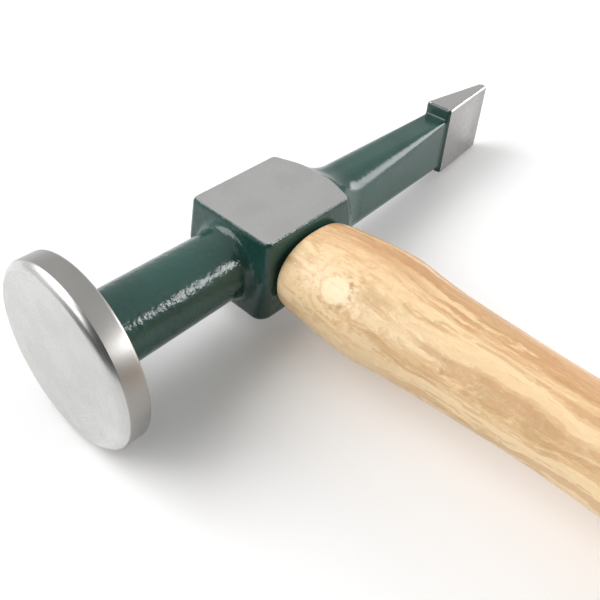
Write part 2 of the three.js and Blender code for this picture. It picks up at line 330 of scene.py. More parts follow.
def shank_field(x, y, z):
    """Tapering shank that grows on an arc towards the block."""
    share = np.clip((x - SHANK_START_X) / (SHANK_END_X - SHANK_START_X), 0, 1)
    size = {key: lerp(SHANK_START[key], SHANK_END[key], share) for key in SHANK_START}
    along = np.clip(x - SHANK_START_X, 0, -BLOCK_HALF[0] - SHANK_START_X)
    flare = SHANK_FLARE - np.sqrt(SHANK_FLARE**2 - along**2)
    middle = (size["top"] - size["bottom"]) / 2
    half_z = (size["top"] + size["bottom"]) / 2 + flare * FLARE_HEIGHT
    offsets = [np.abs(y) - size["half_y"] - flare, np.abs(z - middle) - half_z]
    section = box_field(offsets, size["edge"] + flare * FLARE_ROUNDING)
    return np.maximum(section, np.maximum(SHANK_END_X - 1 - x, x))


def block_field(x, y, z):
    """Eye block with the shank growing out of its back wall, before its cheeks are ground."""
    swell = BLOCK_DRAFT * (1 - np.minimum(np.abs(z) / BLOCK_HALF[2], 1))
    foot = np.clip(-z / BLOCK_HALF[2], 0, 1.05)
    lean = foot * BLOCK_LEAN / 2
    ends = np.abs(x - lean) - BLOCK_HALF[0] - swell - lean
    body = join_round(ends, shank_field(x, y, z), SHANK_FILLET)
    sides = np.abs(y) - BLOCK_HALF[1] - swell
    height = np.minimum(np.abs(z) / BLOCK_HALF[2], 1)
    flank = lerp(FLARE_EDGE, BLOCK_EDGE, height)
    upright = np.where(x > 0, lerp(BLOCK_EDGE, BLOCK_FOOT_EDGE, foot), flank)
    plan = box_field([body, sides], upright)
    back = np.clip(-x - BLOCK_HALF[0], 0, 1)
    cheek_edge = lerp(CHEEK_EDGE, FLARE_CHEEK_EDGE, back)
    return cut_round(plan, np.abs(z) - BLOCK_HALF[2] - GRIND_ALLOWANCE, cheek_edge)


def peen_section(x, allowance):
    """Half sizes and middles of the peen at x."""
    share = np.clip((x - COLLAR_X) / (TIP_X - COLLAR_X), 0, 1)
    size = {key: lerp(PEEN_BASE[key], PEEN_TIP[key], share) for key in PEEN_BASE}
    size["half_y"] = size["half_y"] + allowance
    size["half_z"] = size["half_z"] + allowance
    return size


def peen_field(x, y, z):
    """Rough peen with its shoulder, before it is ground."""
    size = peen_section(x, PEEN_ALLOWANCE)
    middle = (COLLAR_X + TIP_X - PEEN_ALLOWANCE) / 2
    half_x = (COLLAR_X - TIP_X + PEEN_ALLOWANCE) / 2
    offsets = [
        np.abs(x - middle) - half_x,
        np.abs(y - size["mid_y"]) - size["half_y"],
        np.abs(z - size["mid_z"]) - size["half_z"],
    ]
    return box_field(offsets, COLLAR_EDGE)


def forging_field(x, y, z):
    """The whole rough forging before it is ground and its eye is punched."""
    striker = join_round(neck_field(x, y, z), disc_field(x, y, z), DISC_FILLET)
    block = join_round(block_field(x, y, z), striker, NECK_FILLET)
    return join_round(block, peen_field(x, y, z), COLLAR_FILLET)


def skin_of(field, low, high, step):
    """Points and quads of the field's zero surface on a regular grid, then moved onto it."""
    axes = [np.arange(low[i], high[i] + step, step) for i in range(3)]
    x, y, z = np.meshgrid(*axes, indexing="ij")
    values = field(x, y, z)
    inside = values < 0
    shape = np.array(values.shape) - 1
    total = np.zeros((*shape, 3))
    hits = np.zeros(shape)
    corner = [
        tuple(slice(bit, bit + size) for bit, size in zip((i & 1, i >> 1 & 1, i >> 2 & 1), shape))
        for i in range(8)
    ]
    for first in range(8):
        for axis in range(3):
            if first >> axis & 1:
                continue
            second = first | 1 << axis
            a, b = values[corner[first]], values[corner[second]]
            crossed = (a < 0) != (b < 0)
            share = np.where(crossed, a / np.where(crossed, a - b, 1), 0)
            for other in range(3):
                bit = first >> other & 1
                total[..., other] += np.where(crossed, share if other == axis else bit, 0)
            hits += crossed
    cells = hits > 0
    number = np.full(tuple(shape), -1)
    number[cells] = np.arange(cells.sum())
    where = np.argwhere(cells)
    points = np.array(low) + (where + total[cells] / hits[cells][:, None]) * step
    faces = []
    for axis in range(3):
        ahead = [slice(1, -1)] * 3
        behind = [slice(1, -1)] * 3
        behind[axis] = slice(0, -1)
        ahead[axis] = slice(1, None)
        start, stop = inside[tuple(behind)], inside[tuple(ahead)]
        across = [i for i in range(3) if i != axis]
        spots = np.argwhere(start != stop)
        leaving = start[tuple(spots.T)]
        base = spots + 1
        base[:, axis] -= 1
        loop = []
        for da, db in ((-1, -1), (0, -1), (0, 0), (-1, 0)):
            cell = base.copy()
            cell[:, across[0]] += da
            cell[:, across[1]] += db
            loop.append(number[tuple(cell.T)])
        quads = np.column_stack(loop)
        turned = leaving if axis != 1 else ~leaving
        quads[~turned] = quads[~turned][:, ::-1]
        faces.append(quads)
    return settle(field, points, step), np.concatenate(faces)


def settle(field, points, step):
    """Moves points onto the field's zero surface along its slope."""
    nudge = 0.02
    flattest = 0.25  # least squared slope that a move trusts
    for _ in range(4):
        here = field(*points.T)
        slope = np.empty_like(points)
        for axis in range(3):
            ahead = points.copy()
            ahead[:, axis] += nudge
            back = points.copy()
            back[:, axis] -= nudge
            slope[:, axis] = (field(*ahead.T) - field(*back.T)) / (2 * nudge)
        length = np.maximum((slope**2).sum(1), flattest)
        move = np.clip(here / length, -step, step)
        points = points - slope * move[:, None]
    return points


# ------------------------------------------------------------------ head


def oval_ring(y, half_x, half_z, squareness, sides=128, middle_x=0.0):
    """Superellipse across Y; a squareness of 2 is an ellipse."""
    turn = np.linspace(0, 2 * math.pi, sides, endpoint=False)
    bend = 2 / squareness
    across = np.sign(np.cos(turn)) * np.abs(np.cos(turn)) ** bend
    upward = np.sign(np.sin(turn)) * np.abs(np.sin(turn)) ** bend
    return np.column_stack([middle_x + half_x * across, np.full(sides, y), half_z * upward])


def eye_size(y):
    """Half sizes of the eye at y."""
    share = (y + WALL_Y) / (2 * WALL_Y)
    return lerp(EYE_TOP[0], EYE_GRIP[0], share), lerp(EYE_TOP[1], EYE_GRIP[1], share)


def eye_tool():
    """Oval eye, wider on the wedged side, with a small chamfer at both mouths."""
    rings = []
    beyond = 3.0
    for y, extra in (
        (-WALL_Y - beyond, EYE_CHAMFER + beyond),
        (-WALL_Y + EYE_CHAMFER, 0),
        (WALL_Y - EYE_CHAMFER, 0),
        (WALL_Y + beyond, EYE_CHAMFER + beyond),
    ):
        half_x, half_z = eye_size(y)
        rings.append(oval_ring(y, half_x + extra, half_z + extra, EYE_SQUARENESS))
    return ring_loft("eye_tool", rings)


def disc_blank():
    """Everything inside the turned disc, and everything behind it."""
    back = DISC_BACK_X - 0.3
    inner = DISC_RADIUS - DISC_BACK_ROUND
    profile = [(TIP_X - 5, DISC_CUT_RADIUS), (back, DISC_CUT_RADIUS)]
    profile += arc(back + DISC_BACK_ROUND, inner, DISC_BACK_ROUND, 180, 90, 7)
    pull = DISC_BEVEL * (1 - DISC_BEVEL_BULGE) / 2
    bend = (FACE_X - pull, DISC_RADIUS - pull)
    start, stop = (FACE_X - DISC_BEVEL, DISC_RADIUS), (FACE_X, DISC_RADIUS - DISC_BEVEL)
    for t in np.linspace(0, 1, 9):
        profile.append(tuple(
            (1 - t) ** 2 * a + 2 * t * (1 - t) * b + t**2 * c for a, b, c in zip(start, bend, stop)
        ))
    return lathe_x("disc_blank", profile, DISC_SIDES)


def cheek_tool(side):
    """Everything above the upper cheek (side 1) or below the lower one (side -1)."""
    low, high = sorted((side * BLOCK_HALF[2], side * CHEEK_CUT["top"]))
    back, front = CHEEK_CUT["back"], NECK_FILLET + BLOCK_HALF[0]
    half_y = CHEEK_CUT["half_y"]
    return box_object("cheek_tool", (back, -half_y, low), (front, half_y, high))


def peen_blank():
    """Everything inside the ground peen, and everything in front of it."""
    def ring(x, allowance, edge):
        size = peen_section(x, allowance)
        rows = rounded_ring(size["half_y"], size["half_z"], edge)
        rows = rows + (size["mid_y"], size["mid_z"])
        return np.column_stack([np.full(len(rows), x), rows])

    start = COLLAR_X - COLLAR_PAINT
    return ring_loft("peen_blank", [
        ring(FACE_X + 5, PEEN_CUT_REACH, PEEN_EDGE[0]),
        ring(start, PEEN_CUT_REACH, PEEN_EDGE[0]),
        ring(start, PEEN_ALLOWANCE, PEEN_EDGE[0]),
        ring(start - PEEN_ALLOWANCE, 0, PEEN_EDGE[0]),
        ring(TIP_X, 0, PEEN_EDGE[1]),
    ])


def corner_tool():
    """Grinds off the lower corner of the peen's edge."""
    tip = peen_section(TIP_X, 0)
    corner = np.array([TIP_X, 0.0, tip["mid_z"] - tip["half_z"]])
    rings = [
        np.array([corner + (x, y, z) for x, z in CORNER_GRIND])
        for y in (-CORNER_GRIND_HALF_Y, CORNER_GRIND_HALF_Y)
    ]
    return ring_loft("corner_tool", rings)


def is_ground(centre, normal):
    """True where a face of the finished head was left bare by grinding or turning."""
    x, y, z = centre
    on_rim = math.hypot(y, z) > DISC_RADIUS - DISC_BACK_ROUND - 0.2 and x > DISC_BACK_X - 0.2
    on_face = x > DISC_BACK_X + 1
    on_peen = x < COLLAR_X - COLLAR_PAINT - PEEN_ALLOWANCE * 0.9
    level = abs(abs(z) - BLOCK_HALF[2]) < 0.01 and abs(normal[2]) > 0.99
    on_cheek = level and abs(x) < 30
    return on_rim or on_face or on_peen or on_cheek


def is_bore(centre):
    """True where a face of the finished head lies on the wall of the eye."""
    x, y, z = centre
    half_x, half_z = eye_size(y)
    near = math.hypot(x / half_x, z / half_z) < 1.12 and abs(x) < 10
    return near and abs(y) < WALL_Y - EYE_CHAMFER / 2


def shade_head(head):
    """Smooth enamel everywhere, sharp edges only beside bare steel and at the mouths of the eye."""
    head.data.shade_smooth()
    work = bmesh.new()
    work.from_mesh(head.data)
    front = (FACE_X - DISC_BEVEL - 0.1) * MM
    for edge in work.edges:
        if len(edge.link_faces) != 2:
            continue
        if all(face.material_index == 0 for face in edge.link_faces):
            continue
        limit = DISC_CREASE if all(vert.co.x > front for vert in edge.verts) else HEAD_CREASE
        edge.smooth = edge.calc_face_angle() < math.radians(limit)
    work.to_mesh(head.data)
    work.free()


def make_head(paint, ground, bore):
    """Forging, turned and ground where it is bare, with the eye punched through."""
    reach = DISC_RADIUS + FORGING_MARGIN
    low = (TIP_X - FORGING_MARGIN, -reach, -reach)
    high = (FACE_X + FORGING_MARGIN, reach, reach)
    points, faces = skin_of(forging_field, low, high, FORGING_STEP)
    head = mesh_object("hammer_head", points, faces)
    combine(head, disc_blank(), "INTERSECT")
    combine(head, cheek_tool(1), "DIFFERENCE")
    combine(head, cheek_tool(-1), "DIFFERENCE")
    combine(head, peen_blank(), "INTERSECT")
    combine(head, corner_tool(), "DIFFERENCE")
    combine(head, eye_tool(), "DIFFERENCE")
    dress(head, paint, ground, bore)
    for face in head.data.polygons:
        centre = np.array(face.center) / MM
        if is_ground(centre, face.normal):
            face.material_index = 1
        elif is_bore(centre):
            face.material_index = 2
        else:
            face.material_index = 0
    shade_head(head)
    return head


# ------------------------------------------------------------------ handle and wedges


def handle_sizes(y):
    """Half sizes at any y on a smooth curve through the stations."""
    table = np.array(HANDLE_STATIONS)
    places = table[:, 0]
    slopes = np.gradient(table[:, 1:], places, axis=0)
    i = int(np.clip(np.searchsorted(places, y) - 1, 0, len(places) - 2))
    span = places[i + 1] - places[i]
    t = (y - places[i]) / span
    return (
        (2 * t**3 - 3 * t**2 + 1) * table[i, 1:]
        + (t**3 - 2 * t**2 + t) * span * slopes[i]
        + (3 * t**2 - 2 * t**3) * table[i + 1, 1:]
        + (t**3 - t**2) * span * slopes[i + 1]
    )


def hand_shaped(ring, y, fade):
    """Slight unevenness left by the spokeshave."""
    turn = np.arctan2(ring[:, 2], ring[:, 0])
    uneven = np.sin(3 * turn + y / 7) + np.sin(2 * turn - y / 4.3 + 1)
    uneven = uneven + np.sin(5 * turn + y / 11 + 2)
    grow = 1 - fade * UNEVENNESS * (uneven + 3) / 6 / np.hypot(ring[:, 0], ring[:, 2])
    return ring * np.column_stack([grow, np.ones(len(ring)), grow])


def grip_ring(y, inset=0.0):
    """Outline of the handle below the tenon, at y."""
    half_x, half_z = handle_sizes(y) - inset
    return oval_ring(y, half_x, half_z, HANDLE_SQUARENESS, HANDLE_SIDES, HANDLE_MID_X)


def make_handle(material):
    """Tenon in the eye, rounded shoulder, waist, swell and rounded butt."""
    rings = []
    top = -WALL_Y
    for y, inset in (
        (top, TENON_CHAMFER), (top + TENON_CHAMFER, 0.0), (TENON_MIDDLE_Y, 0.0), (TENON_ROOT_Y, 0.0)
    ):
        half_x, half_z = eye_size(min(y, WALL_Y))
        gap = TENON_GAP + inset
        rings.append(oval_ring(y, half_x - gap, half_z - gap, EYE_SQUARENESS, HANDLE_SIDES))
    shoulder = HANDLE_STATIONS[0][0]
    for angle in np.radians(np.linspace(-90, 0, 5)):
        y = shoulder + SHOULDER_EDGE * (1 + math.sin(angle))
        rings.append(grip_ring(y, SHOULDER_EDGE * (1 - math.cos(angle))))
    butt = BUTT_Y - BUTT_ROUND
    shares = np.linspace(0, 1, HANDLE_RINGS)[1:] ** 1.25
    for y in shares * (butt - shoulder - SHOULDER_EDGE) + shoulder + SHOULDER_EDGE:
        fade = min(y - shoulder - SHOULDER_EDGE, butt - y, UNEVENNESS_FADE) / UNEVENNESS_FADE
        rings.append(hand_shaped(grip_ring(y), y, fade))
    for angle in np.radians(np.linspace(0, 90, 13))[1:]:
        y = butt + BUTT_ROUND * math.sin(angle)
        rings.append(grip_ring(y, BUTT_ROUND * (1 - math.cos(angle))))
    handle = ring_loft("hammer_handle", rings)
    combine(handle, slot_tool(WOOD_WEDGE), "DIFFERENCE")
    combine(handle, slot_tool(STEEL_WEDGE), "DIFFERENCE")
    dress(handle, material)
    smooth_with_creases(handle, WOOD_CREASE)
    return handle


def wedge_ring(y, half_x, half_z):
    """Outline of a wedge across Y, with its edges slightly broken."""
    rows = rounded_ring(half_x, half_z, WEDGE_EDGE, 4)
    return np.column_stack([rows[:, 0], np.full(len(rows), y), rows[:, 1]])


def wedge_body(name, wedge, grow=0.0, overrun=0.0):
    """Taper driven from WEDGE_TOP_Y into the eye, or its cutter with grow and overrun."""
    rings = []
    tip = WEDGE_TOP_Y + wedge["depth"] + grow
    stations = (
        (tip, wedge["tip"], WEDGE_EDGE),
        (tip - WEDGE_EDGE, wedge["tip"], 0.0),
        (WEDGE_TOP_Y + WEDGE_EDGE, wedge["top"], 0.0),
        (WEDGE_TOP_Y, wedge["top"], WEDGE_EDGE if grow == 0 else 0.0),
    )
    for y, (half_x, half_z), inset in stations:
        rings.append(wedge_ring(y, half_x + grow - inset, half_z + grow - inset))
    if overrun:
        half_x, half_z = wedge["top"]
        rings.append(wedge_ring(WEDGE_TOP_Y - overrun, half_x + grow, half_z + grow))
    return ring_loft(name, rings)


def slot_tool(wedge):
    """Cutter for the slot that a wedge sits in."""
    return wedge_body("slot", wedge, WEDGE_CLEARANCE, SLOT_OVERRUN)


def make_wood_wedge(material):
    """Hardwood wedge with the cross wedge's slot in its top."""
    wedge = wedge_body("eye_wedge", WOOD_WEDGE)
    combine(wedge, slot_tool(STEEL_WEDGE), "DIFFERENCE")
    dress(wedge, material)
    smooth_with_creases(wedge, WOOD_CREASE)
    return wedge


def make_steel_wedge(material):
    """Small steel wedge driven across the wooden one."""
    wedge = wedge_body("cross_wedge", STEEL_WEDGE)
    dress(wedge, material)
    smooth_with_creases(wedge, WOOD_CREASE)
    return wedge


# ------------------------------------------------------------------ materials


class Look:
    """A material whose nodes are added one call at a time. place is the position in metres in
    the head's axes."""

    def __init__(self, name):
        self.material = bpy.data.materials.new(name)
        self.material.use_nodes = True
        self.tree = self.material.node_tree
        self.tree.nodes.clear()
        self.shader = self.add("ShaderNodeBsdfPrincipled")
        output = self.add("ShaderNodeOutputMaterial")
        self.link(self.shader.outputs["BSDF"], output.inputs["Surface"])
        self.place = self.add("ShaderNodeTexCoord").outputs["Object"]

    def add(self, kind, **settings):
        node = self.tree.nodes.new(kind)
        for key, value in settings.items():
            setattr(node, key, value)
        return node

    def link(self, source, target):
        self.tree.links.new(source, target)

    def feed(self, socket, value):
        if hasattr(value, "links"):
            self.link(value, socket)
        else:
            socket.default_value = value

    def set(self, **values):
        """Constants on the shader's own sockets."""
        for key, value in values.items():
            self.shader.inputs[key.replace("_", " ")].default_value = value

    def math(self, operation, a, b=0.0):
        node = self.add("ShaderNodeMath", operation=operation)
        self.feed(node.inputs[0], a)
        self.feed(node.inputs[1], b)
        return node.outputs[0]

    def times(self, first, *others):
        for other in others:
            first = self.math("MULTIPLY", first, other)
        return first

    def vector(self, operation, a, b):
        node = self.add("ShaderNodeVectorMath", operation=operation)
        self.feed(node.inputs[0], a)
        self.feed(node.inputs[1], b)
        return node.outputs

    def scaled(self, scale, shift=(0, 0, 0), source=None):
        """Place, or another source, times scale, where 1 means one cycle per millimetre."""
        node = self.add("ShaderNodeMapping", vector_type="POINT")
        self.link(source or self.place, node.inputs["Vector"])
        node.inputs["Scale"].default_value = [value / MM for value in scale]
        node.inputs["Location"].default_value = shift
        return node.outputs["Vector"]

    def split(self, vector):
        node = self.add("ShaderNodeSeparateXYZ")
        self.link(vector, node.inputs[0])
        return node.outputs

    def noise(self, vector, detail=2.0, roughness=0.5, output="Fac"):
        node = self.add("ShaderNodeTexNoise")
        self.link(vector, node.inputs["Vector"])
        node.inputs["Scale"].default_value = 1.0
        node.inputs["Detail"].default_value = detail
        node.inputs["Roughness"].default_value = roughness
        return node.outputs[output]

    def ramp(self, value, low, high, out_low=0.0, out_high=1.0):
        """Smooth step from out_low at low to out_high at high."""
        node = self.add("ShaderNodeMapRange", clamp=True, interpolation_type="SMOOTHSTEP")
        node.inputs["From Min"].default_value = low
        node.inputs["From Max"].default_value = high
        node.inputs["To Min"].default_value = out_low
        node.inputs["To Max"].default_value = out_high
        self.feed(node.inputs["Value"], value)
        return node.outputs["Result"]

    def mix(self, share, first, second):
        node = self.add("ShaderNodeMix", data_type="RGBA")
        self.feed(node.inputs["Factor"], share)
        for socket, value in ((node.inputs[6], first), (node.inputs[7], second)):
            self.feed(socket, (*value, 1.0) if isinstance(value, tuple) else value)
        return node.outputs[2]

    def bump(self, height, depth, previous=None):
        """Raises the surface by height times depth millimetres."""
        node = self.add("ShaderNodeBump")
        node.inputs["Strength"].default_value = 1.0
        node.inputs["Distance"].default_value = depth * MM
        self.feed(node.inputs["Height"], height)
        if previous is not None:
            self.link(previous, node.inputs["Normal"])
        return node.outputs["Normal"]


def srgb(red, green, blue):
    """Linear colour from 8-bit screen values."""
    def linear(value):
        share = value / 255
        return share / 12.92 if share <= 0.04045 else ((share + 0.055) / 1.055) ** 2.4
    return (linear(red), linear(green), linear(blue))


ENAMEL_TONES = (srgb(28, 61, 55), srgb(34, 70, 63))
ENAMEL_GRAIN_TONE = srgb(50, 88, 80)
ENAMEL_LUMP = 0.15  # height of the lumps on the neck and block, mm
SHANK_LUMP_SHARE = 0.2
CHEEK_TONE = srgb(192, 192, 190)
FACE_TONE = srgb(202, 202, 200)
# Painted shade: the turned rim gets darker steel than the face.
SHADED_RIM_TONE = srgb(158, 156, 153)
# Painted light on the peen: darker steel on its broad faces as painted shade, lighter on its top
# and edges.
PEEN_LIT_EDGE_TONE = srgb(182, 180, 178)
PEEN_SHADED_FLAT_TONE = srgb(152, 150, 148)
STEEL_CLOUD_TONE = srgb(170, 169, 167)
STEEL_SPECK_TONE = srgb(140, 139, 137)
BORE_TONES = (srgb(22, 40, 36), srgb(60, 62, 60))
WEDGE_STEEL_TONES = (srgb(120, 119, 117), srgb(165, 163, 160))
FLOOR_TONES = ((0.86, 0.86, 0.86), (0.88, 0.88, 0.88))

HANDLE_WOOD = {
    "pale": srgb(236, 207, 163),
    "mid": srgb(210, 169, 122),
    "dark": srgb(188, 143, 96),
    "lacquer": 0.3,
}
WEDGE_WOOD = {
    "pale": srgb(214, 176, 126),
    "mid": srgb(190, 146, 98),
    "dark": srgb(150, 108, 68),
    "lacquer": 0.1,
}
# Painted shade: a darker wood tone laid on the -X side of the handle and wedge.
SHADED_SIDE_TONE = srgb(174, 126, 78)
OLIVE_TONE = srgb(186, 154, 104)
HEART_TONE = srgb(244, 222, 184)
MARK_TONE = srgb(150, 108, 66)
BURL = (9.5, 27.4, 7.3)  # middle of the round figure on the shoulder, mm
STRAY = 6.0  # how far the streaks wander, mm
HEARTWOOD_STRAY = 26.0  # how far the heartwood's edge wanders, mm
# Cycles per millimetre along X, Y and Z, where Y is along the handle.
FIBRE_GRAIN = (2.4, 0.07, 2.4)
FLAME_GRAIN = (0.26, 0.022, 0.26)
RIBBON_GRAIN = (0.34, 0.011, 0.34)
BLOTCH_GRAIN = (0.16, 0.07, 0.16)
MOTTLE_GRAIN = (0.55, 0.4, 0.55)
FLECK_GRAIN = (1.3, 0.6, 1.3)
PORE_GRAIN = (4.0, 0.35, 4.0)
STRAY_GRAIN = (0.11, 0.05, 0.11)


def even(cycles):
    """The same number of cycles per millimetre in every direction."""
    return (cycles, cycles, cycles)


def paint_look():
    """Glossy dark green enamel over a slightly rough forging."""
    look = Look("green_enamel")
    cloud = look.noise(look.scaled(even(0.07)), 3)
    lumps = look.noise(look.scaled(even(0.5), (3, 7, 1)), 2, 0.6)
    grain = look.noise(look.scaled(even(1.3), (9, 2, 4)), 2, 0.6)
    tone = look.mix(look.ramp(cloud, 0.35, 0.65), *ENAMEL_TONES)
    tone = look.mix(look.ramp(grain, 0.5, 0.8, 0, 0.3), tone, ENAMEL_GRAIN_TONE)
    look.link(tone, look.shader.inputs["Base Color"])
    look.link(look.ramp(grain, 0.3, 0.7, 0.13, 0.22), look.shader.inputs["Roughness"])
    look.set(Metallic=0.0, IOR=1.5)
    rough = look.ramp(look.split(look.place)[0], -0.020, 0.010, SHANK_LUMP_SHARE, 1.0)
    normal = look.bump(look.times(lumps, rough), ENAMEL_LUMP)
    normal = look.bump(grain, 0.03, normal)
    look.link(normal, look.shader.inputs["Normal"])
    return look.material


def ground_look():
    """Bare steel: turned rings on the disc, straight grinding lines on the cheeks and peen,
    with painted shade darkening the rim and the peen's broad faces.
    """
    look = Look("ground_steel")
    x, y, z = look.split(look.place)
    squares = look.math("ADD", look.math("POWER", y, 2.0), look.math("POWER", z, 2.0))
    radius = look.math("SQRT", squares)
    rings = look.add("ShaderNodeCombineXYZ")
    look.link(x, rings.inputs[0])
    look.link(radius, rings.inputs[1])
    turned = look.noise(look.scaled(even(3.0), source=rings.outputs[0]), 3, 0.7)
    straight = look.noise(look.scaled((0.25, 6.0, 0.4)), 3, 0.7)
    on_disc = look.ramp(x, 0.045, 0.046)
    lines = look.mix(on_disc, straight, turned)
    fine = look.noise(look.scaled(even(4.0)), 4, 0.7)
    cloud = look.noise(look.scaled(even(0.12)), 3)
    shade = look.ramp(cloud, 0.35, 0.65)
    on_rim = look.times(on_disc, look.ramp(radius, 0.01985, 0.01995))
    on_peen = look.ramp(x, -0.060, -0.058, 1.0, 0.0)
    # painted shade: faces of the peen that look along Y get the darker steel, its top and edges the
    # lighter
    facing = look.split(look.add("ShaderNodeTexCoord").outputs["Normal"])
    broad_face_shade = look.ramp(look.math("ABSOLUTE", facing[1]), 0.5, 0.9)
    tone = look.mix(on_disc, CHEEK_TONE, FACE_TONE)
    # painted shade: the rim darker than the rest of the turned steel
    tone = look.mix(on_rim, tone, SHADED_RIM_TONE)
    tone = look.mix(on_peen, tone, look.mix(broad_face_shade, PEEN_LIT_EDGE_TONE, PEEN_SHADED_FLAT_TONE))
    tone = look.mix(look.times(shade, 0.25), tone, STEEL_CLOUD_TONE)
    tone = look.mix(look.ramp(fine, 0.5, 0.8, 0, 0.2), tone, STEEL_SPECK_TONE)
    look.link(tone, look.shader.inputs["Base Color"])
    look.set(Metallic=1.0)
    roughness = look.math("ADD", look.ramp(lines, 0.3, 0.7, 0.24, 0.32), look.times(on_rim, 0.08))
    look.link(roughness, look.shader.inputs["Roughness"])
    normal = look.bump(fine, 0.004, look.bump(lines, 0.006))
    look.link(normal, look.shader.inputs["Normal"])
    return look.material


def bore_look():
    """Thin overspray on the rough wall of the eye."""
    look = Look("eye_bore")
    scale = look.noise(look.scaled(even(0.8)), 4)
    look.link(look.mix(look.ramp(scale, 0.4, 0.6), *BORE_TONES), look.shader.inputs["Base Color"])
    look.set(Roughness=0.6, Metallic=0.3)
    look.link(look.bump(scale, 0.1), look.shader.inputs["Normal"])
    return look.material


def away_from_burl(look):
    """Distance from the middle of the round figure, in millimetres."""
    centre = [value * MM for value in BURL]
    return look.times(look.vector("DISTANCE", look.place, centre)["Value"], 1 / MM)


def warped(look):
    """Place pushed about, so that streaks wander."""
    push = look.noise(look.scaled(STRAY_GRAIN, (2, 9, 6)), 4, 0.62, "Color")
    centred = look.vector("SUBTRACT", push, (0.5, 0.5, 0.5))[0]
    return look.vector("ADD", look.place, look.vector("MULTIPLY", centred, even(STRAY * MM))[0])[0]


def wood_look(name, pale, mid, dark, lacquer):
    """Pale sapwood on one side and tanner heartwood on the other, with ragged streaks along the
    handle, a mottled patch, a round figure on the shoulder, and painted shade darkening the -X
    side."""
    look = Look(name)
    bent = warped(look)
    away = away_from_burl(look)
    near = look.ramp(away, 4.0, 26.0, 1.0, 0.0)
    far = look.ramp(away, 8.0, 24.0)
    fibre = look.noise(look.scaled(FIBRE_GRAIN), 3, 0.65)
    flame = look.noise(look.scaled(FLAME_GRAIN, (7, 1, 5), bent), 6, 0.66)
    ribbon = look.noise(look.scaled(RIBBON_GRAIN, (2, 6, 8), bent), 4, 0.62)
    blotch = look.noise(look.scaled(BLOTCH_GRAIN, (1, 5, 3), bent), 5, 0.68)
    mottle = look.noise(look.scaled(MOTTLE_GRAIN, (6, 2, 2), bent), 5, 0.7)
    fleck = look.noise(look.scaled(FLECK_GRAIN, (1, 8, 2)), 3, 0.6)
    pores = look.noise(look.scaled(PORE_GRAIN, (5, 3, 2)), 1)

    stray = look.times(look.math("SUBTRACT", flame, 0.5), HEARTWOOD_STRAY)
    side = look.math("ADD", look.times(look.split(bent)[0], 1 / MM), stray)
    heartwood = look.ramp(side, -4.0, 5.0, 1.0, 0.0)
    tone = look.mix(heartwood, pale, mid)
    # painted shade: the wood darkened towards its -X side
    tone = look.mix(look.ramp(side, 2.0, -8.0, 0.0, 0.75), tone, SHADED_SIDE_TONE)
    tone = look.mix(look.ramp(flame, 0.49, 0.55, 0, 0.62), tone, mid)
    streak = look.times(look.ramp(flame, 0.53, 0.62), look.ramp(blotch, 0.40, 0.56), 0.45)
    tone = look.mix(streak, tone, dark)
    tone = look.mix(look.times(look.ramp(ribbon, 0.52, 0.58), far, 0.5), tone, dark)
    tone = look.mix(look.times(look.ramp(ribbon, 0.46, 0.40), far, 0.7), tone, pale)
    tone = look.mix(look.ramp(blotch, 0.54, 0.68, 0, 0.55), tone, OLIVE_TONE)
    patch = look.times(near, look.ramp(blotch, 0.53, 0.43), look.ramp(side, -4.0, 3.0), 0.55)
    tone = look.mix(patch, tone, pale)
    tone = look.mix(look.times(near, look.ramp(mottle, 0.50, 0.60), 0.4), tone, mid)
    tone = look.mix(look.times(near, look.ramp(mottle, 0.66, 0.72), 0.5), tone, MARK_TONE)
    tone = round_figure(look, tone, away, blotch, fleck, dark)
    tone = look.mix(look.ramp(fibre, 0.5, 0.8, 0, 0.3), tone, dark)
    tone = look.mix(look.ramp(fleck, 0.60, 0.78, 0, 0.25), tone, pale)
    open_pore = look.times(look.ramp(pores, 0.62, 0.72), heartwood)
    tone = look.mix(look.times(open_pore, 0.35), tone, dark)

    look.link(tone, look.shader.inputs["Base Color"])
    look.link(look.ramp(fibre, 0.3, 0.7, 0.40, 0.55), look.shader.inputs["Roughness"])
    look.set(Metallic=0.0, IOR=1.45, Coat_Weight=lacquer, Coat_Roughness=0.25)
    normal = look.bump(open_pore, -0.05, look.bump(fibre, 0.03))
    look.link(look.bump(blotch, 0.5, normal), look.shader.inputs["Normal"])
    look.link(look.bump(blotch, 0.5), look.shader.inputs["Coat Normal"])
    return look.material


def round_figure(look, tone, away, blotch, fleck, dark):
    """Faint broken rings round a pale heart, with dark marks on the side away from the head."""
    uneven = look.math("ADD", away, look.times(blotch, 9.0))
    waves = look.ramp(look.math("SINE", look.times(uneven, 2.6)), 0.0, 0.9)
    reach = look.times(look.ramp(away, 3.0, 13.0, 1.0, 0.0), look.ramp(fleck, 0.35, 0.6))
    tone = look.mix(look.times(waves, reach, 0.38), tone, dark)
    soft = look.noise(look.scaled(even(0.45), (4, 4, 9)), 2)
    ragged = look.math("ADD", away, look.times(look.math("SUBTRACT", soft, 0.5), 1.4))
    rim = look.times(look.ramp(ragged, 2.8, 3.3), look.ramp(ragged, 3.4, 4.6, 1.0, 0.0))
    along = look.ramp(look.split(look.place)[1], (BURL[1] - 1) * MM, (BURL[1] + 2) * MM)
    marks = look.times(rim, along, look.ramp(fleck, 0.38, 0.56), 0.6)
    tone = look.mix(marks, tone, MARK_TONE)
    heart = look.ramp(ragged, 2.3, 3.3, 1.0, 0.0)
    return look.mix(look.times(heart, 0.65), tone, HEART_TONE)


